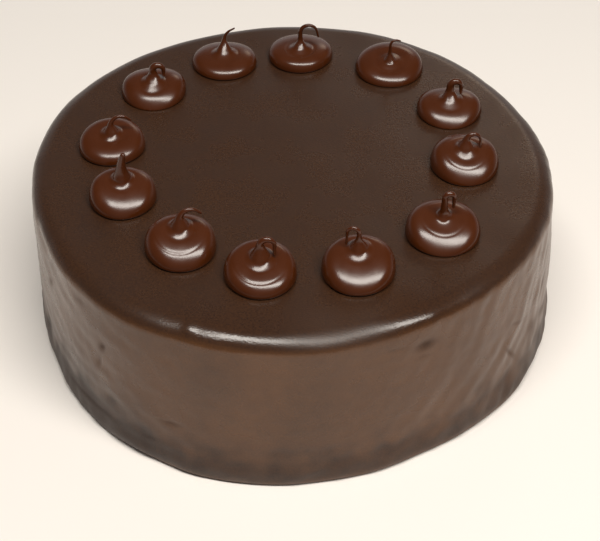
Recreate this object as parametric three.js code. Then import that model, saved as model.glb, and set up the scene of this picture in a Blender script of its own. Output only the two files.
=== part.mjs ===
// A round chocolate cake under a poured glaze, with a ring of piped ganache drops on its flat top.
// Millimetres, +Z up. The origin is the middle of the base, on the surface that the cake stands on.
// +X is to the right of the side that faces the viewer, and +Y points to the back.

import * as THREE from 'three';

// The cake: a nearly upright side, a soft shoulder and a foot where the glaze pooled and set.
const HEIGHT = 76;
const TOP_RADIUS = 115.8;
const FOOT_FLARE = 1.8; // the side is this much wider at the bottom than under the shoulder
const SHOULDER_RUN = 9; // how far in from the side the top starts to fall
const SHOULDER_DROP = 6.8; // how far down the side the shoulder ends
const BEAD_HEIGHT = 5; // the pooled bead of glaze round the foot
const BEAD_SWELL = 0.8;
const UNDERCUT = 2.2; // the bead rolls in by this much before it meets the surface below
const LEAN = { x: -1, y: 2.5 }; // the top stands this far off the middle of the base

// Rows and columns of facets on the cake.
const CAKE_COLUMNS = 96;
const BEAD_ROWS = 5;
const SIDE_ROWS = 5;
const SHOULDER_ROWS = 7;

// Gentle waves round the cake: how many, how far they stand out, and where the first one peaks.
const OUTLINE_WAVES = [
  { count: 2, size: 0.8, peak: 75 },
  { count: 3, size: 0.8, peak: 11 },
  { count: 4, size: 1.1, peak: 67 },
];
const FOOT_WAVES = [
  { count: 7, size: 0.25, peak: 14 },
  { count: 11, size: 0.25, peak: 25 },
  { count: 19, size: 0.2, peak: 3 },
];
const FOOT_WAVE_HEIGHT = 16; // the foot's waves have faded out at this level

// Where the shoulder sags and where it is drawn in: the angle and half width in degrees, and how far.
const SAGS = [{ angle: -73, halfWidth: 7, size: 1.2 }];
const INSETS = [{ angle: -110, halfWidth: 12, size: 2.6 }];

// The ring that the drops stand on, set a little to the back of the cake's middle.
const RING = { x: -2, y: 6.5, radius: 80, firstAngle: 24 };

// A drop is a low bun with a stem, drawn up as the piping nozzle was lifted away.
const DROP_COLUMNS = 24;
const BUN_OUTLINE = [ // shares of the bun's radius and of its thickness, from its seat to the stem
  { out: 0.95, up: 0 },
  { out: 1, up: 0.2 },
  { out: 0.97, up: 0.54 },
  { out: 0.85, up: 0.81 },
  { out: 0.7, up: 0.935 },
  { out: 0.52, up: 0.99 },
];
const FILLET = { out: 1.25, up: 0.1 }; // share of the radius of the stem's foot, and height above the bun
const STEM_SHARES = [0.12, 0.3, 0.6]; // rows of facets below the hook, as shares of the stem's rise
const FOOT_SOFTNESS = 0.22; // how softly a stem's conical foot runs out into its thread
const TIP_TAPER = 0.65; // share of the thread's radius that is lost on the way to its tip
const BEND_STEP = 36; // degrees of the stem's hook between two rows of facets

// The buns in their order round the ring: how far each is off its even place, in degrees and
// outwards, its diameter and thickness, the share by which its back stands higher and its front
// lower, and the share by which it bows down to both.
const BUNS = [
  { turn: 0.5, shift: 1.5, across: 29.3, thick: 7.3, slope: 0.27, bow: 0.47 },
  { turn: 0.7, shift: 4, across: 32, thick: 7, slope: 0.4, bow: 0.16 },
  { turn: 1.5, shift: 0.5, across: 30.9, thick: 6.3, slope: 0.01, bow: 0.23 },
  { turn: -2, shift: 0, across: 30.7, thick: 6.3, slope: 0, bow: 0.32 },
  { turn: -3, shift: 0, across: 30.3, thick: 7.6, slope: 0.33, bow: 0.46 },
  { turn: 0.5, shift: -1.5, across: 29.4, thick: 7.8, slope: 0.27, bow: 0.1 },
  { turn: -1, shift: -3.5, across: 28.9, thick: 9.8, slope: 0.22, bow: 0.29 },
  { turn: 1, shift: -3, across: 29.9, thick: 10.4, slope: 0.22, bow: 0.31 },
  { turn: -2, shift: 0.5, across: 29.9, thick: 9, slope: 0.33, bow: 0.13 },
  { turn: -4, shift: 3, across: 30.2, thick: 10.2, slope: 0.26, bow: 0.27 },
  { turn: -4, shift: 4, across: 31, thick: 9.6, slope: 0.33, bow: 0.35 },
  { turn: 0.5, shift: -2, across: 30.2, thick: 9.9, slope: 0.3, bow: 0.37 },
];

// The stems in the same order: how far each stands behind its bun's middle, the radius of its foot,
// the height over which that narrows, the radius of the thread that is left, and how far the foot
// slants back as a share of that height.
const STEMS = [
  { behind: -2.3, foot: 4.7, fall: 3.4, thread: 2.2, slant: 0.86 },
  { behind: -3.7, foot: 2.9, fall: 3.2, thread: 1, slant: 0.4 },
  { behind: -3.6, foot: 4.6, fall: 3.4, thread: 1.3, slant: 0.52 },
  { behind: -1, foot: 5, fall: 4.8, thread: 1.1, slant: 0.7 },
  { behind: -3.5, foot: 4.9, fall: 3.2, thread: 2.2, slant: 0.86 },
  { behind: -0.2, foot: 4.2, fall: 4.2, thread: 1.2, slant: 0.15 },
  { behind: 1.7, foot: 4.4, fall: 4.2, thread: 3.2, slant: 0.05 },
  { behind: 1.8, foot: 4.6, fall: 4.8, thread: 1.5, slant: 0.15 },
  { behind: 0.3, foot: 5, fall: 5.2, thread: 1.7, slant: 0.2 },
  { behind: 2.9, foot: 4.6, fall: 4.4, thread: 1.2, slant: 0 },
  { behind: 0, foot: 3.4, fall: 2.4, thread: 1.8, slant: 0 },
  { behind: -0.8, foot: 4.4, fall: 4.2, thread: 1.3, slant: 0.3 },
];

// How the stems run, in the same order: straight up by rise, over a hook of that radius by curl
// degrees, and on for droop. The hook turns towards lean degrees.
const HOOKS = [
  { rise: 6.3, hook: 2.4, curl: 178, droop: 3, lean: 0 },
  { rise: 8.1, hook: 2.4, curl: 110, droop: 1.5, lean: 10 },
  { rise: 8.1, hook: 4, curl: 170, droop: 3, lean: 0 },
  { rise: 5.3, hook: 6, curl: 62, droop: 2, lean: 5 },
  { rise: 5.3, hook: 2.5, curl: 180, droop: 2.2, lean: 0 },
  { rise: 3.8, hook: 4.5, curl: 130, droop: 2, lean: 8 },
  { rise: 3.9, hook: 30, curl: 14, droop: 1.2, lean: 0 },
  { rise: 3.7, hook: 4.4, curl: 130, droop: 2, lean: 10 },
  { rise: 6.1, hook: 2.9, curl: 180, droop: 4.2, lean: 0 },
  { rise: 8.1, hook: 2.4, curl: 178, droop: 6, lean: 175 },
  { rise: 9.6, hook: 1.9, curl: 180, droop: 4.9, lean: 5 },
  { rise: 3.6, hook: 3.1, curl: 178, droop: 2.4, lean: 5 },
];

const GLAZE = new THREE.MeshStandardMaterial({ color: 0x432f26, roughness: 0.4, metalness: 0 });
const GANACHE = new THREE.MeshStandardMaterial({ color: 0x4a281b, roughness: 0.22, metalness: 0 });

const { clamp, degToRad, lerp, smoothstep } = THREE.MathUtils;

// The sum of some waves at an angle round the cake.
function waveSum(waves, angle) {
  const height = (wave) => wave.size * Math.cos(wave.count * (angle - degToRad(wave.peak)));
  return waves.reduce((sum, wave) => sum + height(wave), 0);
}

// The sum of some places at an angle round the cake: each is a bell curve round its middle.
function bellSum(places, angle) {
  const apart = (place) => (angle - degToRad(place.angle)) / degToRad(place.halfWidth);
  return places.reduce((sum, place) => sum + place.size * Math.exp(-(apart(place) ** 2)), 0);
}

// A straight side with an elliptical shoulder above it and a bead that rolls under below it.
function cakeProfile() {
  const points = [new THREE.Vector2(0, 0)];
  const shoulderLevel = HEIGHT - SHOULDER_DROP;
  const sideRadius = (level) => TOP_RADIUS + FOOT_FLARE * (1 - level / shoulderLevel);
  for (let row = 0; row <= BEAD_ROWS; row += 1) {
    const angle = (row / BEAD_ROWS) * (Math.PI / 2);
    const level = BEAD_HEIGHT * (1 - Math.cos(angle));
    const swell = BEAD_SWELL - UNDERCUT * (1 - Math.sin(angle));
    points.push(new THREE.Vector2(sideRadius(level) + swell, level));
  }
  for (let row = 1; row <= SIDE_ROWS; row += 1) {
    const share = row / SIDE_ROWS;
    const level = lerp(BEAD_HEIGHT, shoulderLevel, share * share);
    const swell = BEAD_SWELL * (1 - smoothstep(level, BEAD_HEIGHT, FOOT_WAVE_HEIGHT));
    points.push(new THREE.Vector2(sideRadius(level) + swell, level));
  }
  for (let row = 1; row <= SHOULDER_ROWS; row += 1) {
    const angle = (row / SHOULDER_ROWS) * (Math.PI / 2);
    const out = TOP_RADIUS - SHOULDER_RUN * (1 - Math.cos(angle));
    points.push(new THREE.Vector2(out, shoulderLevel + SHOULDER_DROP * Math.sin(angle)));
  }
  points.push(new THREE.Vector2(0, HEIGHT));
  return points;
}

// The profile turned round the upright axis, then pushed out by the waves, drawn in by the insets,
// more and more towards the top, let down where the shoulder sags, less and less towards the top
// and the base, and set to lean.
function cakeGeometry() {
  const geometry = new THREE.LatheGeometry(cakeProfile(), CAKE_COLUMNS).rotateX(Math.PI / 2);
  const place = geometry.attributes.position;
  for (let i = 0; i < place.count; i += 1) {
    const level = place.getZ(i);
    const out = Math.hypot(place.getX(i), place.getY(i));
    const angle = Math.atan2(place.getY(i), place.getX(i));
    const footShare = 1 - smoothstep(level, 0, FOOT_WAVE_HEIGHT);
    const rise = level / HEIGHT;
    const waves = waveSum(OUTLINE_WAVES, angle) + footShare * waveSum(FOOT_WAVES, angle);
    const push = waves - rise ** 2 * bellSum(INSETS, angle);
    const reach = out * (1 + push / TOP_RADIUS);
    const sagShare = Math.min((HEIGHT - level) / SHOULDER_DROP, rise);
    const x = reach * Math.cos(angle) + LEAN.x * rise;
    const y = reach * Math.sin(angle) + LEAN.y * rise;
    place.setXYZ(i, x, y, level - sagShare * bellSum(SAGS, angle));
  }
  return geometry;
}

// The length of a drop's stem, from the bun's top to where its tip starts to round off.
function stemLength(drop) {
  return drop.rise + drop.hook * degToRad(drop.curl) + drop.droop;
}

// The share of a stem's conical foot that is left at a distance along it, from 1 down to nearly 0.
function footLeft(drop, along) {
  const share = (1 - along / drop.fall) / FOOT_SOFTNESS;
  return Math.log1p(Math.exp(share)) / Math.log1p(Math.exp(1 / FOOT_SOFTNESS));
}

// The stem's radius at a distance along it: a thread that thins to its tip, on a conical foot.
function stemRadius(drop, along) {
  const thread = drop.thread * (1 - (TIP_TAPER * along) / stemLength(drop));
  return thread + (drop.foot - drop.thread) * footLeft(drop, along);
}

// The distances along a drop's stem that have a row of facets, from its foot to its tip.
function stemRows(drop) {
  const rows = STEM_SHARES.map((share) => share * drop.rise);
  const bends = Math.ceil(drop.curl / BEND_STEP);
  for (let bend = 0; bend <= bends; bend += 1) {
    rows.push(drop.rise + (drop.hook * degToRad(drop.curl) * bend) / bends);
  }
  rows.push(stemLength(drop));
  return rows;
}

// The outline of a drop whose stem still stands straight up.
function dropProfile(drop) {
  const radius = drop.across / 2;
  const bun = BUN_OUTLINE.map((step) => new THREE.Vector2(step.out * radius, step.up * drop.thick));
  const fillet = new THREE.Vector2(FILLET.out * drop.foot, FILLET.up + drop.thick);
  const stem = stemRows(drop).map((row) => new THREE.Vector2(stemRadius(drop, row), row + drop.thick));
  const end = stem.at(-1);
  const tip = new THREE.Vector2(0, end.y + end.x);
  return [new THREE.Vector2(0, 0), ...bun, fillet, ...stem, tip];
}

// Where the middle of a drop's stem is at a distance along it, and how far it has turned over.
function stemPlace(drop, along) {
  const curl = degToRad(drop.curl);
  const turned = clamp((along - drop.rise) / drop.hook, 0, curl);
  const past = Math.max(along - drop.rise - drop.hook * curl, 0);
  const out = drop.hook * (1 - Math.cos(turned)) + past * Math.sin(turned);
  const up = Math.min(along, drop.rise) + drop.hook * Math.sin(turned) + past * Math.cos(turned);
  return { out, up, turned };
}

// The drop's outline turned round its axis. Then the bun is sloped and bowed, and the stem is bent
// over towards its lean, slanted at its foot and moved back from the bun's middle. The bun's top goes
// along with it, less and less out to the bun's rim.
function dropGeometry(drop) {
  const geometry = new THREE.LatheGeometry(dropProfile(drop), DROP_COLUMNS).rotateX(Math.PI / 2);
  const place = geometry.attributes.position;
  const lean = new THREE.Vector2(Math.cos(degToRad(drop.lean)), Math.sin(degToRad(drop.lean)));
  const radius = drop.across / 2;
  for (let i = 0; i < place.count; i += 1) {
    const flat = new THREE.Vector2(place.getX(i), place.getY(i));
    const level = place.getZ(i);
    const stem = stemPlace(drop, Math.max(level - drop.thick, 0));
    const back = flat.y / radius;
    const bunHeight = Math.min(level, drop.thick) * (1 + drop.slope * back - drop.bow * back ** 2);
    const moved = drop.behind * (1 - flat.lengthSq() / radius ** 2) * (level > 0 ? 1 : 0);
    const slanted = drop.slant * drop.fall * (1 - footLeft(drop, stem.up));
    const across = flat.dot(lean);
    flat.addScaledVector(lean, stem.out + across * (Math.cos(stem.turned) - 1));
    place.setXYZ(i, flat.x, flat.y + moved + slanted, bunHeight + stem.up - across * Math.sin(stem.turned));
  }
  return geometry;
}

function namedMesh(name, geometry, material) {
  const mesh = new THREE.Mesh(geometry, material);
  mesh.name = name;
  return mesh;
}

const cake = new THREE.Group();
cake.add(namedMesh('glazed_cake', cakeGeometry(), GLAZE));

BUNS.forEach((bun, index) => {
  const drop = { ...bun, ...STEMS[index], ...HOOKS[index] };
  const name = `piped_drop_${String(index + 1).padStart(2, '0')}`;
  const angle = degToRad(RING.firstAngle + (360 / BUNS.length) * index + drop.turn);
  const out = RING.radius + drop.shift;
  const mesh = namedMesh(name, dropGeometry(drop), GANACHE);
  mesh.position.set(RING.x + out * Math.cos(angle), RING.y + out * Math.sin(angle), HEIGHT);
  cake.add(mesh);
});

export default cake;
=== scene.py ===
"""A round chocolate cake under a poured glaze, with a ring of piped ganache drops on its top.

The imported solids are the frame. Finer surfaces of the same form stand for them and carry what is too fine
for the solids: the mottle, smears and dents of the glaze, and the dishes and creases in the drops.
Lengths are metres, +Z is up, and the origin is the middle of the cake's base.
"""

import math
from typing import NamedTuple

import bpy
import numpy as np
from bpy.props import FloatProperty, FloatVectorProperty, PointerProperty
from bpy.types import Operator, Panel, PropertyGroup
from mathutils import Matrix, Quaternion, Vector


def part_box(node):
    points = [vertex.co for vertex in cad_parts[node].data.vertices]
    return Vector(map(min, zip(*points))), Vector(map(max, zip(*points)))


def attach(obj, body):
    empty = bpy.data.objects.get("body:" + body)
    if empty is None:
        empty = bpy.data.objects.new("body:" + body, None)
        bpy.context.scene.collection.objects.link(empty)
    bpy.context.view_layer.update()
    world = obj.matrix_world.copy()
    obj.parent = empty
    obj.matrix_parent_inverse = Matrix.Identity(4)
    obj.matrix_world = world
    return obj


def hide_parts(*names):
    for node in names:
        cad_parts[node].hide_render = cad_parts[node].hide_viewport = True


bl_info = {
    "name": "Glazed Chocolate Cake",
    "version": (1, 0, 0),
    "blender": (4, 5, 0),
    "location": "View3D > Sidebar > Cake",
    "description": "Pours the glaze over a packed cake, pipes its ring of drops and lights it",
    "category": "Add Mesh",
}

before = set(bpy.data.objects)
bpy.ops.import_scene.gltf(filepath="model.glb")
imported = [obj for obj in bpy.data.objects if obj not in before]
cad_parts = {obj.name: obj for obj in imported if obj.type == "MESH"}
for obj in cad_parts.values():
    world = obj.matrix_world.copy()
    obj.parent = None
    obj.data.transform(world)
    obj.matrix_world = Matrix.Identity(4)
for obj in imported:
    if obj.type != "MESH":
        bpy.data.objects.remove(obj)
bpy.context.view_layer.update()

BODY = "root"
CAKE_NODE = "glazed_cake"
DROP_NODES = sorted(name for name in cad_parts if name.startswith("piped_drop_"))
CAKE_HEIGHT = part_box(CAKE_NODE)[1].z


class Wave(NamedTuple):
    """Waves round the cake: how many, how far they stand out, and the degrees where the first one peaks."""

    count: int
    size: float
    peak: float


OUTLINE_WAVES = (Wave(2, 0.0008, 75), Wave(3, 0.0008, 11), Wave(4, 0.0011, 67))
FOOT_WAVES = (Wave(7, 0.00025, 14), Wave(11, 0.00025, 25), Wave(19, 0.0002, 3))
FOOT_WAVE_HEIGHT = 0.016  # the foot's waves have faded out at this level


class Swell(NamedTuple):
    """A place on the shoulder.

    Its angle and half width in degrees, how far it sags and is drawn in, how much it shines, and how deep
    its bend is flattened.
    """

    angle: float
    half_width: float
    sag: float = 0.0
    inset: float = 0.0
    shine: float = 0.0
    flat: float = 0.0


SWELLS = (
    Swell(-110, 12, inset=0.0026),
    Swell(-101, 11, shine=1.0, flat=0.00028),
    Swell(-80, 10, shine=-1.4),
    Swell(-73, 7, sag=0.0012),
    Swell(-62, 8, shine=1.0),
)

# Rows and columns of the glaze's surface.
GLAZE_COLUMNS = 720
BEAD_ROWS = 10
SIDE_ROWS = 66
SHOULDER_ROWS = 22
TOP_ROWS = 28
TOP_HOLE = 0.002  # the innermost ring of the top, closed by a fan


class Dent(NamedTuple):
    """A mark in the glaze: its angle and level, its half sizes, its turn in degrees, and its depth."""

    angle: float
    level: float
    half_length: float
    half_width: float
    turn: float
    depth: float


DENTS = (
    Dent(-131.4, 0.0493, 0.0028, 0.0016, 60, 0.00040),
    Dent(-133.0, 0.0392, 0.0040, 0.0014, 75, 0.00025),
    Dent(-153.0, 0.0530, 0.0034, 0.0018, 50, 0.00022),
    Dent(-138.0, 0.0650, 0.0044, 0.0014, 10, 0.00012),
    Dent(-138.0, 0.0115, 0.0170, 0.0012, 2, 0.00020),
    Dent(-114.8, 0.0258, 0.0046, 0.0010, 4, 0.00030),
    Dent(-120.0, 0.0130, 0.0040, 0.0014, 8, 0.00016),
    Dent(-110.8, 0.0748, 0.0024, 0.0016, 0, -0.00040),
    Dent(-69.0, 0.0650, 0.0044, 0.0009, -12, 0.00020),
    Dent(-62.1, 0.0614, 0.0050, 0.0026, -4, 0.00050),
    Dent(-62.6, 0.0560, 0.0030, 0.0009, -10, 0.00020),
    Dent(-37.0, 0.0275, 0.0080, 0.0010, -52, 0.00030),
    Dent(-35.0, 0.0415, 0.0052, 0.0008, -24, 0.00018),
    Dent(-27.0, 0.0280, 0.0050, 0.0040, 0, 0.00018),
    Dent(-20.0, 0.0410, 0.0060, 0.0030, 40, 0.00018),
    Dent(-20.0, 0.0250, 0.0060, 0.0026, -20, 0.00018),
)
DENT_PAINTED_SHADE = 1000  # how much darker a dent is painted, for each metre of depth: painted shade in the hollow
DENT_DULLNESS = 9000  # and how much less it shines there


class Field(NamedTuple):
    """Uneven waves over the glaze.

    Their seed, the shortest and the longest wave, and the degrees that they face and spread to both sides.
    """

    seed: int
    lengths: tuple
    facing: float = 0
    spread: float = 90


FIELD_WAVES = 60  # waves that are added up in one field
MOTTLE = Field(17, (0.004, 0.014))
RIGHT_SMEARS = Field(18, (0.007, 0.030), 145, 20)
LEFT_SMEARS = Field(19, (0.007, 0.030), 68, 22)
BROAD_SWELLS = Field(20, (0.025, 0.090))
FOOT_LUMPS = Field(21, (0.007, 0.022))
RIM_WAVES = Field(22, (0.018, 0.060), 0, 25)
TOP_WAVES = Field(23, (0.020, 0.080))

# Where the glaze's marks show: angles in degrees, and levels between which one thing fades into another.
SMOOTH_FRONT = (-90, 34)  # middle and half width of the front, which has no smears
SMEAR_TURN = (-0.3, 0.3)  # shares of the radius to the right, between which the smears change their slant
MARKED_EDGE = 0.024  # how far in from the top's edge the marks of the rim have faded out
LUMP_RISE = 0.0025  # how far the lumps shift the levels at the foot
LUMPY_SHADED_FOOT = (0.006, 0.024)  # levels between which the lumps and the foot's painted shade fade out
DULL_FOOT = (0.008, 0.030)  # and the dullness
FOOT_DULLNESS = 2.0  # how much less the glaze shines at the foot
PAINTED_LEFT = (-142, 26)  # middle and half width of the painted shade low on the left
PAINTED_LEFT_LEVELS = (0.012, 0.042)  # levels between which that painted shade fades out
RIM_SHARE = 0.6  # depth of the rim's waves as a share of the broad swells'
RIM_WIDTH = 0.008  # how far they reach up and down from the side's end
BEND_IN = 0.0033  # where the shoulder's bend is flattened: in from its edge, and down from the top
BEND_DOWN = 0.0015
BEND_WIDTH = 0.0030
COVERED = (0.0009, 0.0040)  # levels above the side's end, between which the thick glaze of the top begins

# How dark the glaze is coloured, from 0 for the side's colour to 1 for the thick colour of the top, and how
# much its marks add to that. The side's lighter tone is partly painted light; the darker foot and left are
# painted shade.
TOP_THICKNESS = 0.86
SIDE_TONE_WITH_PAINTED_LIGHT = 0.24
MOTTLE_SHADE = 0.03
SWELL_SHADE = 0.06
# painted shade: the foot is coloured darker
FOOT_PAINTED_SHADE = 0.55
# painted shade: the side low on the left is coloured darker
PAINTED_LEFT_SHADE = 0.45


class Bun(NamedTuple):
    """The low part of a drop.

    Its thickness, the share by which its back stands higher and its front lower, the share by which it bows
    down to both, how deep it is dished round the stem, and the depth and place of a crease behind its front
    rim, the place as a share of the radius.
    """

    thick: float
    slope: float
    bow: float
    dish: float
    crease: float = 0.0
    crease_place: float = 0.8


class Stem(NamedTuple):
    """The stem of a drop.

    How far it stands behind the bun's middle, the radius of its conical foot, the height over which that
    narrows, the radius of the thread that is left, and how far the foot slants back as a share of that
    height. It goes straight up by rise, over a hook of that radius by curl degrees and on for droop, and the
    hook turns towards lean degrees.
    """

    behind: float
    foot: float
    fall: float
    thread: float
    slant: float
    rise: float
    hook: float
    curl: float
    droop: float
    lean: float


# One bun and one stem for each drop, in the order of the nodes' names.
BUNS = (
    Bun(0.0073, 0.27, 0.47, 0.0001),
    Bun(0.0070, 0.40, 0.16, 0.0005),
    Bun(0.0063, 0.01, 0.23, 0.0002),
    Bun(0.0063, 0.00, 0.32, 0.0001),
    Bun(0.0076, 0.33, 0.46, 0.0002),
    Bun(0.0078, 0.27, 0.10, 0.0002),
    Bun(0.0098, 0.22, 0.29, 0.0001),
    Bun(0.0104, 0.22, 0.31, 0.0001, 0.00010, 0.74),
    Bun(0.0090, 0.33, 0.13, 0.0001, 0.00010, 0.76),
    Bun(0.0102, 0.26, 0.27, 0.0001),
    Bun(0.0096, 0.33, 0.35, 0.0001, 0.00008, 0.60),
    Bun(0.0099, 0.30, 0.37, 0.0002, 0.00008, 0.65),
)
STEMS = (
    Stem(-0.0023, 0.0047, 0.0034, 0.0022, 0.86, 0.0063, 0.0024, 178, 0.0030, 0),
    Stem(-0.0037, 0.0029, 0.0032, 0.0010, 0.40, 0.0081, 0.0024, 110, 0.0015, 10),
    Stem(-0.0036, 0.0046, 0.0034, 0.0013, 0.52, 0.0081, 0.0040, 170, 0.0030, 0),
    Stem(-0.0010, 0.0050, 0.0048, 0.0011, 0.70, 0.0053, 0.0060, 62, 0.0020, 5),
    Stem(-0.0035, 0.0049, 0.0032, 0.0022, 0.86, 0.0053, 0.0025, 180, 0.0022, 0),
    Stem(-0.0002, 0.0042, 0.0042, 0.0012, 0.15, 0.0038, 0.0045, 130, 0.0020, 8),
    Stem(0.0017, 0.0044, 0.0042, 0.0032, 0.05, 0.0039, 0.0300, 14, 0.0012, 0),
    Stem(0.0018, 0.0046, 0.0048, 0.0015, 0.15, 0.0037, 0.0044, 130, 0.0020, 10),
    Stem(0.0003, 0.0050, 0.0052, 0.0017, 0.20, 0.0061, 0.0029, 180, 0.0042, 0),
    Stem(0.0029, 0.0046, 0.0044, 0.0012, 0.0, 0.0081, 0.0024, 178, 0.0060, 175),
    Stem(0.0, 0.0034, 0.0024, 0.0018, 0.0, 0.0096, 0.0019, 180, 0.0049, 5),
    Stem(-0.0008, 0.0044, 0.0042, 0.0013, 0.30, 0.0036, 0.0031, 178, 0.0024, 5),
)

# The outline of a bun, as shares of its radius and thickness, and how its top runs into the stem.
BUN_OUTLINE = (
    (0.95, 0.0), (1.0, 0.14), (1.0, 0.32), (0.97, 0.54),
    (0.91, 0.72), (0.82, 0.85), (0.69, 0.94), (0.52, 0.99),
)
FILLET = (1.25, 0.0001)  # share of the stem's foot, and height above the bun
STEM_LEVELS = (0.0009, 0.0022)  # heights along the stem that the bun's curve still runs through
FOOT_SOFTNESS = 0.22  # how softly a stem's conical foot runs out into its thread
TIP_TAPER = 0.65  # share of the thread's radius that is lost on the way to its tip

# How a bun is uneven. Shares are of its radius, and of its thickness where they are levels.
DROP_SEED = 41
BUN_WAVES = ((2, 0.008), (3, 0.006), (5, 0.003))  # how many round it, and how far they stand out as a share
BUN_FADE = 0.001  # its waves have faded out this far up the stem
SIDE_TILT = 0.04  # the most that one side may stand higher, as a share
DISH_PLACE = 0.40
DISH_WIDTH = 0.12
CREASE_WIDTH = 0.035
CREASED_FRONT = (-0.1, 0.7)  # shares to the front, between which a crease sets in
MARKED_LEVELS = (0.55, 0.75)  # levels between which dishes and creases set in
SEATED_LEVEL = 0.2  # from this level up, the bun's middle follows its stem

# Rows and columns of a drop's surface.
DROP_COLUMNS = 72
DROP_STEPS = 9  # rows between two points of a drop's outline
STEM_STEP = 0.0005  # length of stem between two rows
TIP_ROWS = 5

# Finishes. The values of a noise texture mostly lie in the noise range.
COCOA_GRAIN = "Cocoa Grain"
DEPTH_AND_PAINTED_LIGHT_ATTRIBUTE = "glaze_depth_and_painted_light"
GLOSS_ATTRIBUTE = "glaze_gloss"
NOISE_RANGE = (0.3, 0.7)
CLOUD_RELIEF = 0.6  # height of the clouds as a share of the grain's
GLAZE_CLOUDS = 0.04  # how far the clouds and the grain shift the glaze's thickness
GLAZE_SPECKLE = 0.12
GLAZE_ROUGHNESS = (0.24, 0.32)
GLOSS_STEP = 0.12  # roughness that one step of gloss takes away
GANACHE_ROUGHNESS = (0.19, 0.25)
FLOOR_ROUGHNESS = 0.9

# The stage. Edges in the room are soft: each is where it starts and ends, as a share of a direction.
FLOOR_HALF = 3.0
FLOOR_GAP = 0.0002  # how far the floor lies under the cake's base
WHITE = (1, 1, 1)
BACK_EDGE = (-0.1, 0.4)
BESIDE_EDGE = (0.3, 0.65)
GLOW_EDGE = (0.1, 0.52)
PANEL_LEFT = (0.0, 0.22)
PANEL_RIGHT = (0.22, 0.45)
PANEL_FOOT = (0.30, 0.48)
PANEL_HEAD = (0.47, 0.57)
BACK_SHARE = 0.7  # share of the room's light that is left behind the cake
BESIDE_SHARE = 0.5  # and to both sides


class GlazeSettings(PropertyGroup):
    """The cake under its glaze, and the glaze's finish."""

    height: FloatProperty(
        name="Height", description="From the base to the flat top",
        default=CAKE_HEIGHT, unit="LENGTH")
    top_radius: FloatProperty(
        name="Top Radius", description="Radius just under the shoulder",
        default=0.1158, unit="LENGTH")
    foot_flare: FloatProperty(
        name="Foot Flare", description="How much wider the side is at the bottom",
        default=0.0018, unit="LENGTH")
    shoulder_run: FloatProperty(
        name="Shoulder Run", description="How far in the top starts to fall",
        default=0.009, unit="LENGTH")
    shoulder_drop: FloatProperty(
        name="Shoulder Drop", description="How far down the shoulder ends",
        default=0.0068, unit="LENGTH")
    bead_height: FloatProperty(
        name="Bead Height", description="Height of the pooled glaze at the foot",
        default=0.005, unit="LENGTH")
    bead_swell: FloatProperty(
        name="Bead Swell", description="How far the pooled glaze stands out",
        default=0.0008, unit="LENGTH")
    undercut: FloatProperty(
        name="Undercut", description="How far the pooled glaze rolls in below",
        default=0.0022, unit="LENGTH")
    lean: FloatVectorProperty(
        name="Lean", description="How far the top stands off the base's middle",
        default=(-0.001, 0.0025), size=2, unit="LENGTH")
    mottle_depth: FloatProperty(
        name="Mottle Depth", description="Depth of the fine mottle of the side",
        default=0.00003, unit="LENGTH")
    smear_depth: FloatProperty(
        name="Smear Depth", description="Depth of the slanting smears in the side",
        default=0.00014, unit="LENGTH")
    swell_depth: FloatProperty(
        name="Swell Depth", description="Depth of the broad swells in the side",
        default=0.00016, unit="LENGTH")
    # Painted shade in the dents, at the foot and low on the left takes this colour too.
    thick_and_shaded_colour: FloatVectorProperty(
        name="Thick Glaze And Painted Shade", description="Colour where the glaze lies thick, and where shade is painted",
        default=(0.0285, 0.0125, 0.0069), size=3, subtype="COLOR", min=0, max=1)
    # The side's colour: thin glaze, lightened and warmed by painted light.
    side_colour_with_painted_light: FloatVectorProperty(
        name="Side Glaze With Painted Light", description="Colour of the side's thin glaze, lightened by painted light",
        default=(0.116, 0.0485, 0.0175), size=3, subtype="COLOR", min=0, max=1)


class DropSettings(PropertyGroup):
    """The piped drops' finish and seat."""

    seat_depth: FloatProperty(
        name="Seat Depth", description="How far the drops sink into the glaze",
        default=0.0002, unit="LENGTH")
    dark_colour: FloatVectorProperty(
        name="Dark Ganache", description="Darker shade of the ganache",
        default=(0.0525, 0.012, 0.0023), size=3, subtype="COLOR", min=0, max=1)
    light_colour: FloatVectorProperty(
        name="Light Ganache", description="Lighter shade of the ganache",
        default=(0.070, 0.0166, 0.0034), size=3, subtype="COLOR", min=0, max=1)


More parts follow.
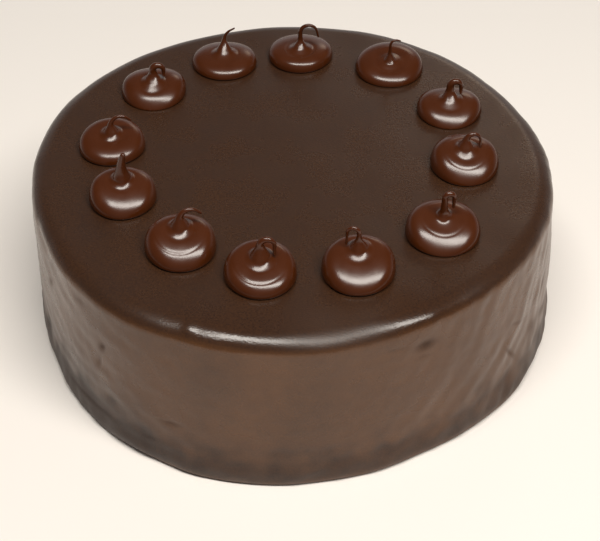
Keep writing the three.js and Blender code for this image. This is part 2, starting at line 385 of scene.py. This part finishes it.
class StageSettings(PropertyGroup):
    """The floor, the room's light, the lamp and the camera."""

    floor_colour: FloatVectorProperty(
        name="Floor", description="Colour of the plain floor",
        default=(0.90, 0.86, 0.82), size=3, subtype="COLOR", min=0, max=1)
    room_light: FloatProperty(
        name="Room Light", description="Brightness of the room all round",
        default=0.15)
    wall_light: FloatProperty(
        name="Wall Light", description="Brightness of the glow low down behind",
        default=0.5)
    panel_light: FloatProperty(
        name="Panel Light", description="Brightness of the pale panel behind",
        default=3.2)
    panel_colour: FloatVectorProperty(
        name="Panel Colour", description="Colour of the pale panel behind",
        default=(1.0, 0.76, 0.52), size=3, subtype="COLOR", min=0, max=1)
    lamp_power: FloatProperty(
        name="Lamp Power", description="Power of the long lamp overhead",
        default=25.4, unit="POWER")
    lamp_colour: FloatVectorProperty(
        name="Lamp Colour", description="Colour of the long lamp",
        default=(1.0, 0.95, 0.88), size=3, subtype="COLOR", min=0, max=1)
    lamp_place: FloatVectorProperty(
        name="Lamp Place", description="Middle of the long lamp",
        default=(0.20, -0.45, 1.34), size=3, subtype="TRANSLATION")
    lamp_size: FloatVectorProperty(
        name="Lamp Size", description="Length and width of the long lamp",
        default=(1.52, 0.3), size=2, unit="LENGTH")
    lamp_turn: FloatProperty(
        name="Lamp Turn", description="How far the long lamp is turned round its beam",
        default=math.radians(-35), subtype="ANGLE")
    camera_place: FloatVectorProperty(
        name="Camera Place", description="Where the camera stands",
        default=(-0.00147, -0.53773, 0.48652), size=3, subtype="TRANSLATION")
    camera_tilt: FloatProperty(
        name="Camera Tilt", description="How far the camera looks down",
        default=math.radians(41.28), subtype="ANGLE")
    camera_pan: FloatProperty(
        name="Camera Pan", description="How far the camera looks to the right",
        default=math.radians(0.518), subtype="ANGLE")
    camera_lens: FloatProperty(
        name="Camera Lens", description="Focal length in millimetres",
        default=92.03)


def smooth_step(value, low, high):
    """0 below low and 1 above high, with the curve 3s^2 - 2s^3 between them."""
    share = np.clip((value - low) / (high - low), 0, 1)
    return share * share * (3 - 2 * share)


def bell(value, width):
    """A bell curve, exp(-(value / width)^2), that is 1 at 0."""
    return np.exp(-(value / width) ** 2)


def turned_apart(angle, degrees):
    """The angle from that direction, between minus and plus half a turn."""
    return (angle - math.radians(degrees) + np.pi) % (2 * np.pi) - np.pi


def bell_round(angle, degrees, half_width):
    """A bell curve round the cake, that is 1 in that direction. The half width is in degrees."""
    return bell(turned_apart(angle, degrees), math.radians(half_width))


def wave_sum(waves, angle):
    """The sum of size * cos(count * (angle - peak)) over the waves."""
    return sum(wave.size * np.cos(wave.count * (angle - math.radians(wave.peak))) for wave in waves)


def swell_sum(kind, angle):
    """The sum of the swells' sag, inset, shine or flat, each a bell curve round its angle."""
    return sum(getattr(swell, kind) * bell_round(angle, swell.angle, swell.half_width) for swell in SWELLS)


def uneven_field(field, across, up, period):
    """Seeded plane waves over a sheet, added up to a field of unit strength.

    Each is cos(2 pi (a across + b up) + phase). Its wavelength is drawn between the field's two lengths, and
    its direction within the field's spread. a is rounded so that waves meet after one period across.
    """
    draw = np.random.default_rng(field.seed)
    total = np.zeros(np.broadcast_shapes(across.shape, up.shape))
    for _ in range(FIELD_WAVES):
        length = draw.uniform(*field.lengths)
        turn = math.radians(field.facing + draw.uniform(-field.spread, field.spread))
        a = round(math.cos(turn) / length * period) / period
        b = math.sin(turn) / length
        total += np.cos(2 * np.pi * (a * across + b * up) + draw.uniform(0, 2 * np.pi))
    return total / math.sqrt(FIELD_WAVES / 2)


def smooth_through(points, steps):
    """A Catmull-Rom curve through the points, with that many steps in each span. The ends have no bend."""
    points = np.asarray(points, float)
    before = 2 * points[0] - points[1]
    after = 2 * points[-1] - points[-2]
    ends = np.vstack([before, points, after])[:, None]
    p0, p1, p2, p3 = ends[:-3], ends[1:-2], ends[2:-1], ends[3:]
    t = (np.arange(steps) / steps)[None, :, None]
    curve = 0.5 * (2 * p1 + (p2 - p0) * t + (2 * p0 - 5 * p1 + 4 * p2 - p3) * t ** 2
                   + (3 * p1 - p0 - 3 * p2 + p3) * t ** 3)
    return np.vstack([curve.reshape(-1, 2), points[-1:]])


def closed_surface(name, rings):
    """A mesh object from rings of points, lowest first.

    Four-sided faces join the rings and a fan closes each end. Points run counter-clockwise seen from above,
    so that the faces point outwards.
    """
    rows, columns, _ = rings.shape
    points = np.vstack([rings.reshape(-1, 3), rings[0].mean(0), rings[-1].mean(0)])
    index = np.arange(rows * columns).reshape(rows, columns)
    beside = np.roll(index, -1, axis=1)
    quads = np.stack([index[:-1], beside[:-1], beside[1:], index[1:]], axis=-1).reshape(-1, 4)
    foot = np.full(columns, rows * columns)
    fans = np.vstack([
        np.stack([foot, beside[0], index[0]], axis=-1),
        np.stack([foot + 1, index[-1], beside[-1]], axis=-1),
    ])
    mesh = bpy.data.meshes.new(name)
    mesh.from_pydata(points.tolist(), [], quads.tolist() + fans.tolist())
    mesh.polygons.foreach_set("use_smooth", np.ones(len(mesh.polygons), bool))
    mesh.update()
    piece = bpy.data.objects.new(name, mesh)
    bpy.context.scene.collection.objects.link(piece)
    return piece


def dress(piece, node, material):
    """The piece stands for the node, rides on its body and wears the material."""
    piece.data.materials.append(material)
    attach(piece, BODY)
    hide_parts(node)


def glaze_profile(glaze):
    """The cake's outline as radius and level, from the edge of its base to the middle of its top.

    A bead that is a quarter of an ellipse rolls out from the base. Above it the side is straight and a
    little wider at the bottom, the shoulder is another quarter of an ellipse, and the top is flat.
    """
    shoulder_level = glaze.height - glaze.shoulder_drop

    def side_radius(level):
        return glaze.top_radius + glaze.foot_flare * (1 - level / shoulder_level)

    turn = np.linspace(0, np.pi / 2, BEAD_ROWS)
    bead_level = glaze.bead_height * (1 - np.cos(turn))
    bead_out = side_radius(bead_level) + glaze.bead_swell - glaze.undercut * (1 - np.sin(turn))
    side_level = np.linspace(glaze.bead_height, shoulder_level, SIDE_ROWS + 1)[1:]
    swell = glaze.bead_swell * (1 - smooth_step(side_level, glaze.bead_height, FOOT_WAVE_HEIGHT))
    turn = np.linspace(0, np.pi / 2, SHOULDER_ROWS + 1)[1:]
    shoulder_out = glaze.top_radius - glaze.shoulder_run * (1 - np.cos(turn))
    top_out = np.linspace(shoulder_out[-1], TOP_HOLE, TOP_ROWS + 1)[1:]
    out = np.concatenate([bead_out, side_radius(side_level) + swell, shoulder_out, top_out])
    level = np.concatenate([bead_level, side_level, shoulder_level + glaze.shoulder_drop * np.sin(turn),
                            np.full(TOP_ROWS, glaze.height)])
    return out, level


def glaze_dents(angle, level, radius):
    """The depth of all the dents, each a bell curve over an ellipse that is turned on the side."""
    total = 0.0
    for dent in DENTS:
        across = turned_apart(angle, dent.angle) * radius
        up = level - dent.level
        turn = math.radians(dent.turn)
        along = across * math.cos(turn) + up * math.sin(turn)
        beside = up * math.cos(turn) - across * math.sin(turn)
        total = total + dent.depth * bell(along, dent.half_length) * bell(beside, dent.half_width)
    return total


def glaze_smears(angle, arc, level, period):
    """Smears all round but at the front, that slant one way on the left and another on the right."""
    off_front = 1 - bell_round(angle, *SMOOTH_FRONT)
    to_right = smooth_step(np.cos(angle), *SMEAR_TURN)
    right = uneven_field(RIGHT_SMEARS, arc, level, period)
    left = uneven_field(LEFT_SMEARS, arc, level, period)
    return off_front * (to_right * right + (1 - to_right) * left)


def glaze_relief(glaze, angle, out, level):
    """How far the glaze stands out of the cake's plain form, how dark its colour is and how its gloss
    differs.

    The side has broad swells, a fine mottle, smears and dents. It is more uneven near the foot, and dull
    there. The shoulder has long low waves and a flattened bend, and the top is almost flat. The glaze is
    darker on the top, where it lies thick. The side's lighter tone is partly painted light, and the darker
    foot, left and dents are painted shade.
    """
    shoulder_level = glaze.height - glaze.shoulder_drop
    arc = angle * glaze.top_radius
    period = 2 * np.pi * glaze.top_radius
    on_top = smooth_step(level, shoulder_level, glaze.height)
    off_base = smooth_step(level, 0, glaze.bead_height)
    on_side = off_base * (1 - on_top)
    near_edge = smooth_step(out, glaze.top_radius - MARKED_EDGE, glaze.top_radius - glaze.shoulder_run)
    mottle = uneven_field(MOTTLE, arc, level, period)
    smears = glaze_smears(angle, arc, level, period)
    swells = uneven_field(BROAD_SWELLS, arc, level, period)
    lumps = uneven_field(FOOT_LUMPS, arc, level, period)
    rim = uneven_field(RIM_WAVES, arc, level, period)
    top = uneven_field(TOP_WAVES, out * np.cos(angle), out * np.sin(angle), period)
    dents = glaze_dents(angle, level, glaze.top_radius)
    hollows = np.maximum(dents, 0) * near_edge
    foot_level = level + LUMP_RISE * lumps
    near_foot = on_side * (1 - smooth_step(foot_level, *LUMPY_SHADED_FOOT))
    covered = smooth_step(level - shoulder_level, *COVERED)

    on_rim = near_edge * bell(level - shoulder_level, RIM_WIDTH)
    marks = glaze.mottle_depth * mottle + glaze.smear_depth * smears + glaze.swell_depth * swells
    relief = on_side * marks + glaze.swell_depth * near_foot * lumps
    relief = relief + RIM_SHARE * glaze.swell_depth * on_rim * rim
    relief = relief + glaze.mottle_depth * on_top * top
    off_bend = np.hypot(out - glaze.top_radius + BEND_IN, level - glaze.height + BEND_DOWN)
    relief = relief - bell(off_bend, BEND_WIDTH) * swell_sum("flat", angle)
    relief = relief - dents * near_edge * off_base

    # Painted shade: the foot, the side low on the left and the dents are coloured darker. The side's lighter
    # tone is partly painted light.
    left_shade = bell_round(angle, *PAINTED_LEFT) * (1 - smooth_step(level, *PAINTED_LEFT_LEVELS))
    side = SIDE_TONE_WITH_PAINTED_LIGHT + MOTTLE_SHADE * mottle + SWELL_SHADE * swells
    side = side + FOOT_PAINTED_SHADE * near_foot + PAINTED_LEFT_SHADE * left_shade
    thick = TOP_THICKNESS * covered + (1 - covered) * side + DENT_PAINTED_SHADE * hollows

    gloss = near_edge * covered * swell_sum("shine", angle) - DENT_DULLNESS * hollows
    gloss = gloss - FOOT_DULLNESS * near_edge * (1 - smooth_step(foot_level, *DULL_FOOT))
    return relief, np.clip(thick, 0, 1), gloss


def glaze_rings(glaze):
    """Rings of points up the glazed cake, with how dark the glaze's colour is, painted light and shade
    included, and how its gloss differs at each.

    The profile is turned round the upright axis, pushed out by the waves, drawn in by the insets as the
    square of its height, moved along its own normal by the relief, let down where the shoulder sags, and set
    to lean in step with its height.
    """
    profile_out, profile_level = glaze_profile(glaze)
    slope_out = np.gradient(profile_out)
    slope_up = np.gradient(profile_level)
    length = np.hypot(slope_out, slope_up)
    out, level = profile_out[:, None], profile_level[:, None]
    normal_out, normal_up = (slope_up / length)[:, None], (-slope_out / length)[:, None]
    angle = np.linspace(-np.pi, np.pi, GLAZE_COLUMNS, endpoint=False)[None, :]
    rise = level / glaze.height
    foot_share = 1 - smooth_step(level, 0, FOOT_WAVE_HEIGHT)
    push = wave_sum(OUTLINE_WAVES, angle) + foot_share * wave_sum(FOOT_WAVES, angle)
    push = push - rise ** 2 * swell_sum("inset", angle)
    relief, thick, gloss = glaze_relief(glaze, angle, out, level)
    sag_share = np.minimum((glaze.height - level) / glaze.shoulder_drop, rise)
    reach = out * (1 + push / glaze.top_radius) + relief * normal_out
    height = level + relief * normal_up - sag_share * swell_sum("sag", angle)
    x = reach * np.cos(angle) + glaze.lean[0] * rise
    y = reach * np.sin(angle) + glaze.lean[1] * rise
    return np.stack([x, y, height], axis=-1), thick, gloss


def foot_left(stem, along):
    """The share of a stem's conical foot that is left at a height along it.

    It is log(1 + exp((1 - along / fall) / softness)), scaled to start at 1: a straight fall that runs out
    softly.
    """
    share = (1 - along / stem.fall) / FOOT_SOFTNESS
    return np.log1p(np.exp(share)) / math.log1p(math.exp(1 / FOOT_SOFTNESS))


def stem_radius(stem, along, length):
    """The stem's radius at a height along it: a thread that thins to its tip, on a conical foot."""
    thread = stem.thread * (1 - TIP_TAPER * along / length)
    return thread + (stem.foot - stem.thread) * foot_left(stem, along)


def stem_line(stem, along):
    """How far a stem has turned, how far out it reaches and how high it stands, at each height along it.

    It is a straight rise, then a round hook, then a straight droop.
    """
    curl = math.radians(stem.curl)
    turned = np.clip((along - stem.rise) / stem.hook, 0, curl)
    past = np.maximum(along - stem.rise - stem.hook * curl, 0)
    out = stem.hook * (1 - np.cos(turned)) + past * np.sin(turned)
    up = np.minimum(along, stem.rise) + stem.hook * np.sin(turned) + past * np.cos(turned)
    return turned, out, up


def drop_outline(radius, bun, stem):
    """Radius and level of a drop from its seat to its tip, with its stem still standing straight up.

    A smooth curve runs through the bun's points and the foot of the stem, the stem follows its own radius
    from there, and half a ball rounds its tip.
    """
    length = stem.rise + stem.hook * math.radians(stem.curl) + stem.droop
    points = [(out * radius, up * bun.thick) for out, up in BUN_OUTLINE]
    points.append((FILLET[0] * stem.foot, FILLET[1] + bun.thick))
    points += [(stem_radius(stem, level, length), level + bun.thick) for level in STEM_LEVELS]
    curve = smooth_through(points, DROP_STEPS)
    along = np.linspace(STEM_LEVELS[-1], length, int(length / STEM_STEP))[1:]
    stem_out = stem_radius(stem, along, length)
    turn = np.linspace(0, np.pi / 2, TIP_ROWS + 1)[1:-1]
    tip_out = stem_out[-1] * np.cos(turn)
    tip_along = length + stem_out[-1] * np.sin(turn)
    out = np.concatenate([curve[:, 0], stem_out, tip_out])
    level = np.concatenate([curve[:, 1], along + bun.thick, tip_along + bun.thick])
    return out, level


def bun_marks(bun, share, angle):
    """How deep a bun's top is dished round its stem and creased behind its front rim, each a bell curve."""
    front = smooth_step(-np.sin(angle), *CREASED_FRONT)
    dish = bun.dish * bell(share - DISH_PLACE, DISH_WIDTH)
    return dish + bun.crease * front * bell(share - bun.crease_place, CREASE_WIDTH)


def drop_rings(centre, seat, radius, bun, stem, seat_depth, seed):
    """Rings of points up one piped drop.

    Its outline is turned round and made a little uneven, the bun's top is sloped, bowed, dished and creased,
    and the stem is bent along its line, with its foot slanted back.
    """
    draw = np.random.default_rng(seed)
    angle = np.linspace(-np.pi, np.pi, DROP_COLUMNS, endpoint=False)[None, :]
    outline_out, outline_level = drop_outline(radius, bun, stem)
    out, level = outline_out[:, None], outline_level[:, None]
    share = out / radius
    uneven = sum(size * np.cos(count * angle + draw.uniform(0, 2 * np.pi)) for count, size in BUN_WAVES)
    side_tilt = draw.uniform(-SIDE_TILT, SIDE_TILT)
    on_bun = 1 - smooth_step(level, bun.thick, bun.thick + BUN_FADE)
    marked = smooth_step(level / bun.thick, *MARKED_LEVELS) * on_bun
    back = share * np.sin(angle)
    tilt = bun.slope * back - bun.bow * back ** 2 + side_tilt * share * np.cos(angle)
    turned, stem_out, stem_up = stem_line(stem, np.maximum(level - bun.thick, 0))
    lean = math.radians(stem.lean)
    reach = out * (1 + uneven * on_bun)
    across = reach * np.cos(angle - lean)
    beside = reach * np.sin(angle - lean)
    leaning = stem_out + across * np.cos(turned)
    moved = stem.behind * (1 - share ** 2) * smooth_step(level / bun.thick, 0, SEATED_LEVEL)
    moved = moved + stem.slant * stem.fall * (1 - foot_left(stem, stem_up))
    x = centre.x + leaning * math.cos(lean) - beside * math.sin(lean)
    y = centre.y + leaning * math.sin(lean) + beside * math.cos(lean) + moved
    height = np.minimum(level, bun.thick) * (1 + tilt) + stem_up - across * np.sin(turned)
    height = height - marked * bun_marks(bun, share, angle)
    height = np.where(level > 0, height, -seat_depth)
    return np.stack([x, y, seat + height], axis=-1)


def add_node(tree, kind, **values):
    """A new shader node of that kind, with the values set on it."""
    made = tree.nodes.new(kind)
    for name, value in values.items():
        setattr(made, name, value)
    return made


def feed(tree, value, socket):
    """The socket reads another socket, or holds a number."""
    if isinstance(value, bpy.types.NodeSocket):
        tree.links.new(value, socket)
    else:
        socket.default_value = value


def noise(tree, coordinates, scale, detail):
    """A noise texture. Its scale is a socket to read or a number."""
    made = add_node(tree, "ShaderNodeTexNoise")
    feed(tree, coordinates, made.inputs["Vector"])
    feed(tree, scale, made.inputs["Scale"])
    feed(tree, detail, made.inputs["Detail"])
    return made.outputs["Fac"]


def combine(tree, operation, *values):
    """A Math node on sockets or numbers."""
    made = add_node(tree, "ShaderNodeMath", operation=operation)
    for value, socket in zip(values, made.inputs):
        feed(tree, value, socket)
    return made.outputs[0]


def spread(tree, value, low, high, new_low, new_high, way="LINEAR"):
    """A Map Range node that carries low to high over to new_low to new_high."""
    made = add_node(tree, "ShaderNodeMapRange", interpolation_type=way)
    feed(tree, value, made.inputs["Value"])
    for name, number in (("From Min", low), ("From Max", high), ("To Min", new_low), ("To Max", new_high)):
        feed(tree, number, made.inputs[name])
    return made.outputs["Result"]


def soft_edge(tree, value, edge, before, after):
    """A smooth change from before to after, between the two ends of the edge."""
    return spread(tree, value, *edge, before, after, "SMOOTHSTEP")


def soft_band(tree, value, first, last):
    """1 between the two soft edges and 0 outside them."""
    rising = soft_edge(tree, value, first, 0, 1)
    falling = soft_edge(tree, value, last, 1, 0)
    return combine(tree, "MULTIPLY", rising, falling)


def between(tree, factor, low_colour, high_colour):
    """A colour ramp from one colour to the other."""
    made = add_node(tree, "ShaderNodeValToRGB")
    for element, colour in zip(made.color_ramp.elements, (low_colour, high_colour)):
        element.color = (*colour, 1)
    feed(tree, factor, made.inputs["Fac"])
    return made.outputs["Color"]


def cocoa_group():
    """The node group that both chocolates share: soft clouds, fine grain, and the relief that they make."""
    tree = bpy.data.node_groups.new(COCOA_GRAIN, "ShaderNodeTree")
    tree.interface.new_socket("Coordinates", in_out="INPUT", socket_type="NodeSocketVector")
    for name in ("Cloud Scale", "Grain Scale"):
        tree.interface.new_socket(name, in_out="INPUT", socket_type="NodeSocketFloat")
    for name in ("Clouds", "Grain", "Height"):
        tree.interface.new_socket(name, in_out="OUTPUT", socket_type="NodeSocketFloat")
    given = add_node(tree, "NodeGroupInput").outputs
    result = add_node(tree, "NodeGroupOutput").inputs
    clouds = noise(tree, given["Coordinates"], given["Cloud Scale"], detail=4)
    grain = noise(tree, given["Coordinates"], given["Grain Scale"], detail=2)
    feed(tree, clouds, result["Clouds"])
    feed(tree, grain, result["Grain"])
    feed(tree, combine(tree, "MULTIPLY_ADD", clouds, CLOUD_RELIEF, grain), result["Height"])
    return tree


def shared_cocoa():
    """The cocoa group, made once."""
    return bpy.data.node_groups.get(COCOA_GRAIN) or cocoa_group()


def chocolate(name, cloud_scale, grain_scale):
    """A material with the cocoa group in it: the material, its tree, its shader and the group's outputs."""
    material = bpy.data.materials.new(name)
    material.use_nodes = True
    tree = material.node_tree
    shader = tree.nodes["Principled BSDF"]
    grain = add_node(tree, "ShaderNodeGroup", node_tree=shared_cocoa())
    feed(tree, cloud_scale, grain.inputs["Cloud Scale"])
    feed(tree, grain_scale, grain.inputs["Grain Scale"])
    feed(tree, add_node(tree, "ShaderNodeTexCoord").outputs["Object"], grain.inputs["Coordinates"])
    return material, tree, shader, grain.outputs


def bumped(tree, shader, height, strength, distance):
    """A Bump node from the height to the shader's normal."""
    bump = add_node(tree, "ShaderNodeBump")
    feed(tree, strength, bump.inputs["Strength"])
    feed(tree, distance, bump.inputs["Distance"])
    feed(tree, height, bump.inputs["Height"])
    feed(tree, bump.outputs["Normal"], shader.inputs["Normal"])


def attribute(tree, name):
    """The number that the surface carries under that name."""
    return add_node(tree, "ShaderNodeAttribute", attribute_name=name).outputs["Fac"]


def glaze_material(glaze):
    """Satin glaze: darker where it lies thick and where shade is painted, lighter and redder on the side,
    which is partly painted light, with a fine grain.
    """
    material, tree, shader, grain = chocolate("poured_glaze", cloud_scale=60, grain_scale=1300)
    cloudy = spread(tree, grain["Clouds"], *NOISE_RANGE, -GLAZE_CLOUDS, GLAZE_CLOUDS)
    speckled = spread(tree, grain["Grain"], *NOISE_RANGE, -GLAZE_SPECKLE, GLAZE_SPECKLE)
    depth = combine(tree, "ADD", attribute(tree, DEPTH_AND_PAINTED_LIGHT_ATTRIBUTE), cloudy)
    depth = combine(tree, "ADD", depth, speckled)
    feed(tree, between(tree, depth, glaze.side_colour_with_painted_light, glaze.thick_and_shaded_colour), shader.inputs["Base Color"])
    dull = spread(tree, grain["Clouds"], *NOISE_RANGE, *GLAZE_ROUGHNESS)
    rough = combine(tree, "MULTIPLY_ADD", attribute(tree, GLOSS_ATTRIBUTE), -GLOSS_STEP, dull)
    feed(tree, rough, shader.inputs["Roughness"])
    bumped(tree, shader, grain["Height"], strength=0.3, distance=0.0002)
    return material


def ganache_material(drops):
    """Glossy ganache: a warm dark brown with faint clouds."""
    material, tree, shader, grain = chocolate("piped_ganache", cloud_scale=160, grain_scale=2200)
    brown = between(tree, grain["Clouds"], drops.dark_colour, drops.light_colour)
    feed(tree, brown, shader.inputs["Base Color"])
    rough = spread(tree, grain["Clouds"], *NOISE_RANGE, *GANACHE_ROUGHNESS)
    feed(tree, rough, shader.inputs["Roughness"])
    bumped(tree, shader, grain["Height"], strength=0.05, distance=0.0001)
    return material


class CAKE_OT_pour_glaze(Operator):
    """Make the glazed cake as one closed surface"""

    bl_idname = "cake.pour_glaze"
    bl_label = "Pour Glaze"

    def execute(self, context):
        glaze = context.scene.cake_glaze
        rings, thick, gloss = glaze_rings(glaze)
        piece = closed_surface("poured_glaze", rings)
        # The depth carries painted light on the side and painted shade at the foot, low on the left and in
        # the dents.
        for name, values in ((DEPTH_AND_PAINTED_LIGHT_ATTRIBUTE, thick), (GLOSS_ATTRIBUTE, gloss)):
            carried = piece.data.attributes.new(name, "FLOAT", "POINT")
            ends = [values[0].mean(), values[-1].mean()]
            carried.data.foreach_set("value", np.concatenate([values.ravel(), ends]).astype(np.float32))
        dress(piece, CAKE_NODE, glaze_material(glaze))
        return {"FINISHED"}


class CAKE_OT_pipe_drops(Operator):
    """Make the ring of piped drops, each on the place of its node"""

    bl_idname = "cake.pipe_drops"
    bl_label = "Pipe Drops"

    def execute(self, context):
        drops = context.scene.cake_drops
        material = ganache_material(drops)
        for index, (name, bun, stem) in enumerate(zip(DROP_NODES, BUNS, STEMS, strict=True)):
            low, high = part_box(name)
            centre = (low + high) / 2
            radius = (high.y - low.y) / 2
            rings = drop_rings(centre, low.z, radius, bun, stem, drops.seat_depth, DROP_SEED + index)
            piece = closed_surface("ganache" + name.removeprefix("piped"), rings)
            dress(piece, name, material)
        return {"FINISHED"}


def lay_floor(stage):
    """A flat pale floor, just under the cake's base."""
    corners = [(x * FLOOR_HALF, y * FLOOR_HALF, -FLOOR_GAP) for x, y in ((-1, -1), (1, -1), (1, 1), (-1, 1))]
    mesh = bpy.data.meshes.new("floor")
    mesh.from_pydata(corners, [], [(0, 1, 2, 3)])
    floor = bpy.data.objects.new("floor", mesh)
    bpy.context.scene.collection.objects.link(floor)
    material = bpy.data.materials.new("plain_floor")
    material.use_nodes = True
    shader = material.node_tree.nodes["Principled BSDF"]
    shader.inputs["Base Color"].default_value = (*stage.floor_colour, 1)
    shader.inputs["Roughness"].default_value = FLOOR_ROUGHNESS
    mesh.materials.append(material)


def light_room(scene, stage):
    """A dim room, dimmer behind and to both sides.

    Behind, a pale glow lies low down and a pale panel stands to the right. The camera sees white past the
    floor.
    """
    world = bpy.data.worlds.new("room")
    world.use_nodes = True
    tree = world.node_tree
    background = tree.nodes["Background"]
    way = add_node(tree, "ShaderNodeSeparateXYZ")
    feed(tree, add_node(tree, "ShaderNodeTexCoord").outputs["Generated"], way.inputs[0])
    right, back, up = (way.outputs[name] for name in "XYZ")
    behind = soft_edge(tree, back, BACK_EDGE, 0, 1)
    glow = soft_edge(tree, up, GLOW_EDGE, stage.wall_light, 0)
    upright = soft_band(tree, right, PANEL_LEFT, PANEL_RIGHT)
    panel = combine(tree, "MULTIPLY", upright, soft_band(tree, up, PANEL_FOOT, PANEL_HEAD))
    lit = combine(tree, "MULTIPLY", behind, combine(tree, "MULTIPLY_ADD", panel, stage.panel_light, glow))
    dim = spread(tree, behind, 0, 1, stage.room_light, BACK_SHARE * stage.room_light)
    beside = soft_edge(tree, combine(tree, "ABSOLUTE", right), BESIDE_EDGE, 1, BESIDE_SHARE)
    room = combine(tree, "MULTIPLY", beside, combine(tree, "ADD", dim, lit))
    seen = add_node(tree, "ShaderNodeLightPath").outputs["Is Camera Ray"]
    feed(tree, combine(tree, "MAXIMUM", seen, room), background.inputs["Strength"])
    feed(tree, between(tree, panel, WHITE, stage.panel_colour), background.inputs["Color"])
    scene.world = world


def hang_lamp(scene, stage):
    """One long soft lamp overhead, that looks at the middle of the cake's top."""
    light = bpy.data.lights.new("long_lamp", "AREA")
    light.shape = "RECTANGLE"
    light.size, light.size_y = stage.lamp_size
    light.energy = stage.lamp_power
    light.color = stage.lamp_colour
    lamp = bpy.data.objects.new("long_lamp", light)
    lamp.location = stage.lamp_place
    aim = (Vector((0, 0, CAKE_HEIGHT)) - lamp.location).to_track_quat("-Z", "Y")
    lamp.rotation_euler = (aim @ Quaternion((0, 0, 1), stage.lamp_turn)).to_euler()
    lamp.visible_camera = False
    scene.collection.objects.link(lamp)


def place_camera(scene, stage):
    """The camera at the angle of the photograph."""
    data = bpy.data.cameras.new("camera")
    data.lens = stage.camera_lens
    camera = bpy.data.objects.new("camera", data)
    camera.location = stage.camera_place
    camera.rotation_euler = (math.pi / 2 - stage.camera_tilt, 0, -stage.camera_pan)
    scene.collection.objects.link(camera)
    scene.camera = camera


class CAKE_OT_set_stage(Operator):
    """Make the plain floor, the soft light and the camera"""

    bl_idname = "cake.set_stage"
    bl_label = "Set Stage"

    def execute(self, context):
        scene = context.scene
        stage = scene.cake_stage
        lay_floor(stage)
        light_room(scene, stage)
        hang_lamp(scene, stage)
        place_camera(scene, stage)
        scene.view_settings.view_transform = "Standard"
        return {"FINISHED"}


class VIEW3D_PT_cake(Panel):
    """The cake's operators and their settings"""

    bl_idname = "VIEW3D_PT_cake"
    bl_label = "Glazed Chocolate Cake"
    bl_space_type = "VIEW_3D"
    bl_region_type = "UI"
    bl_category = "Cake"

    def draw(self, context):
        scene = context.scene
        for operator, settings in (
            (CAKE_OT_set_stage, scene.cake_stage),
            (CAKE_OT_pour_glaze, scene.cake_glaze),
            (CAKE_OT_pipe_drops, scene.cake_drops),
        ):
            box = self.layout.box()
            for name in settings.bl_rna.properties.keys():
                if name not in ("rna_type", "name"):
                    box.prop(settings, name)
            box.operator(operator.bl_idname)


CLASSES = (
    GlazeSettings,
    DropSettings,
    StageSettings,
    CAKE_OT_set_stage,
    CAKE_OT_pour_glaze,
    CAKE_OT_pipe_drops,
    VIEW3D_PT_cake,
)


def register():
    """Register the classes, and give the scene its settings."""
    for cls in CLASSES:
        bpy.utils.register_class(cls)
    bpy.types.Scene.cake_glaze = PointerProperty(type=GlazeSettings)
    bpy.types.Scene.cake_drops = PointerProperty(type=DropSettings)
    bpy.types.Scene.cake_stage = PointerProperty(type=StageSettings)


def unregister():
    """Take the settings off the scene, and unregister the classes."""
    del bpy.types.Scene.cake_stage
    del bpy.types.Scene.cake_drops
    del bpy.types.Scene.cake_glaze
    for cls in reversed(CLASSES):
        bpy.utils.unregister_class(cls)


def main():
    """Make the stage, the glazed cake and its drops."""
    register()
    bpy.ops.cake.set_stage()
    bpy.ops.cake.pour_glaze()
    bpy.ops.cake.pipe_drops()


if __name__ == "__main__":
    main()
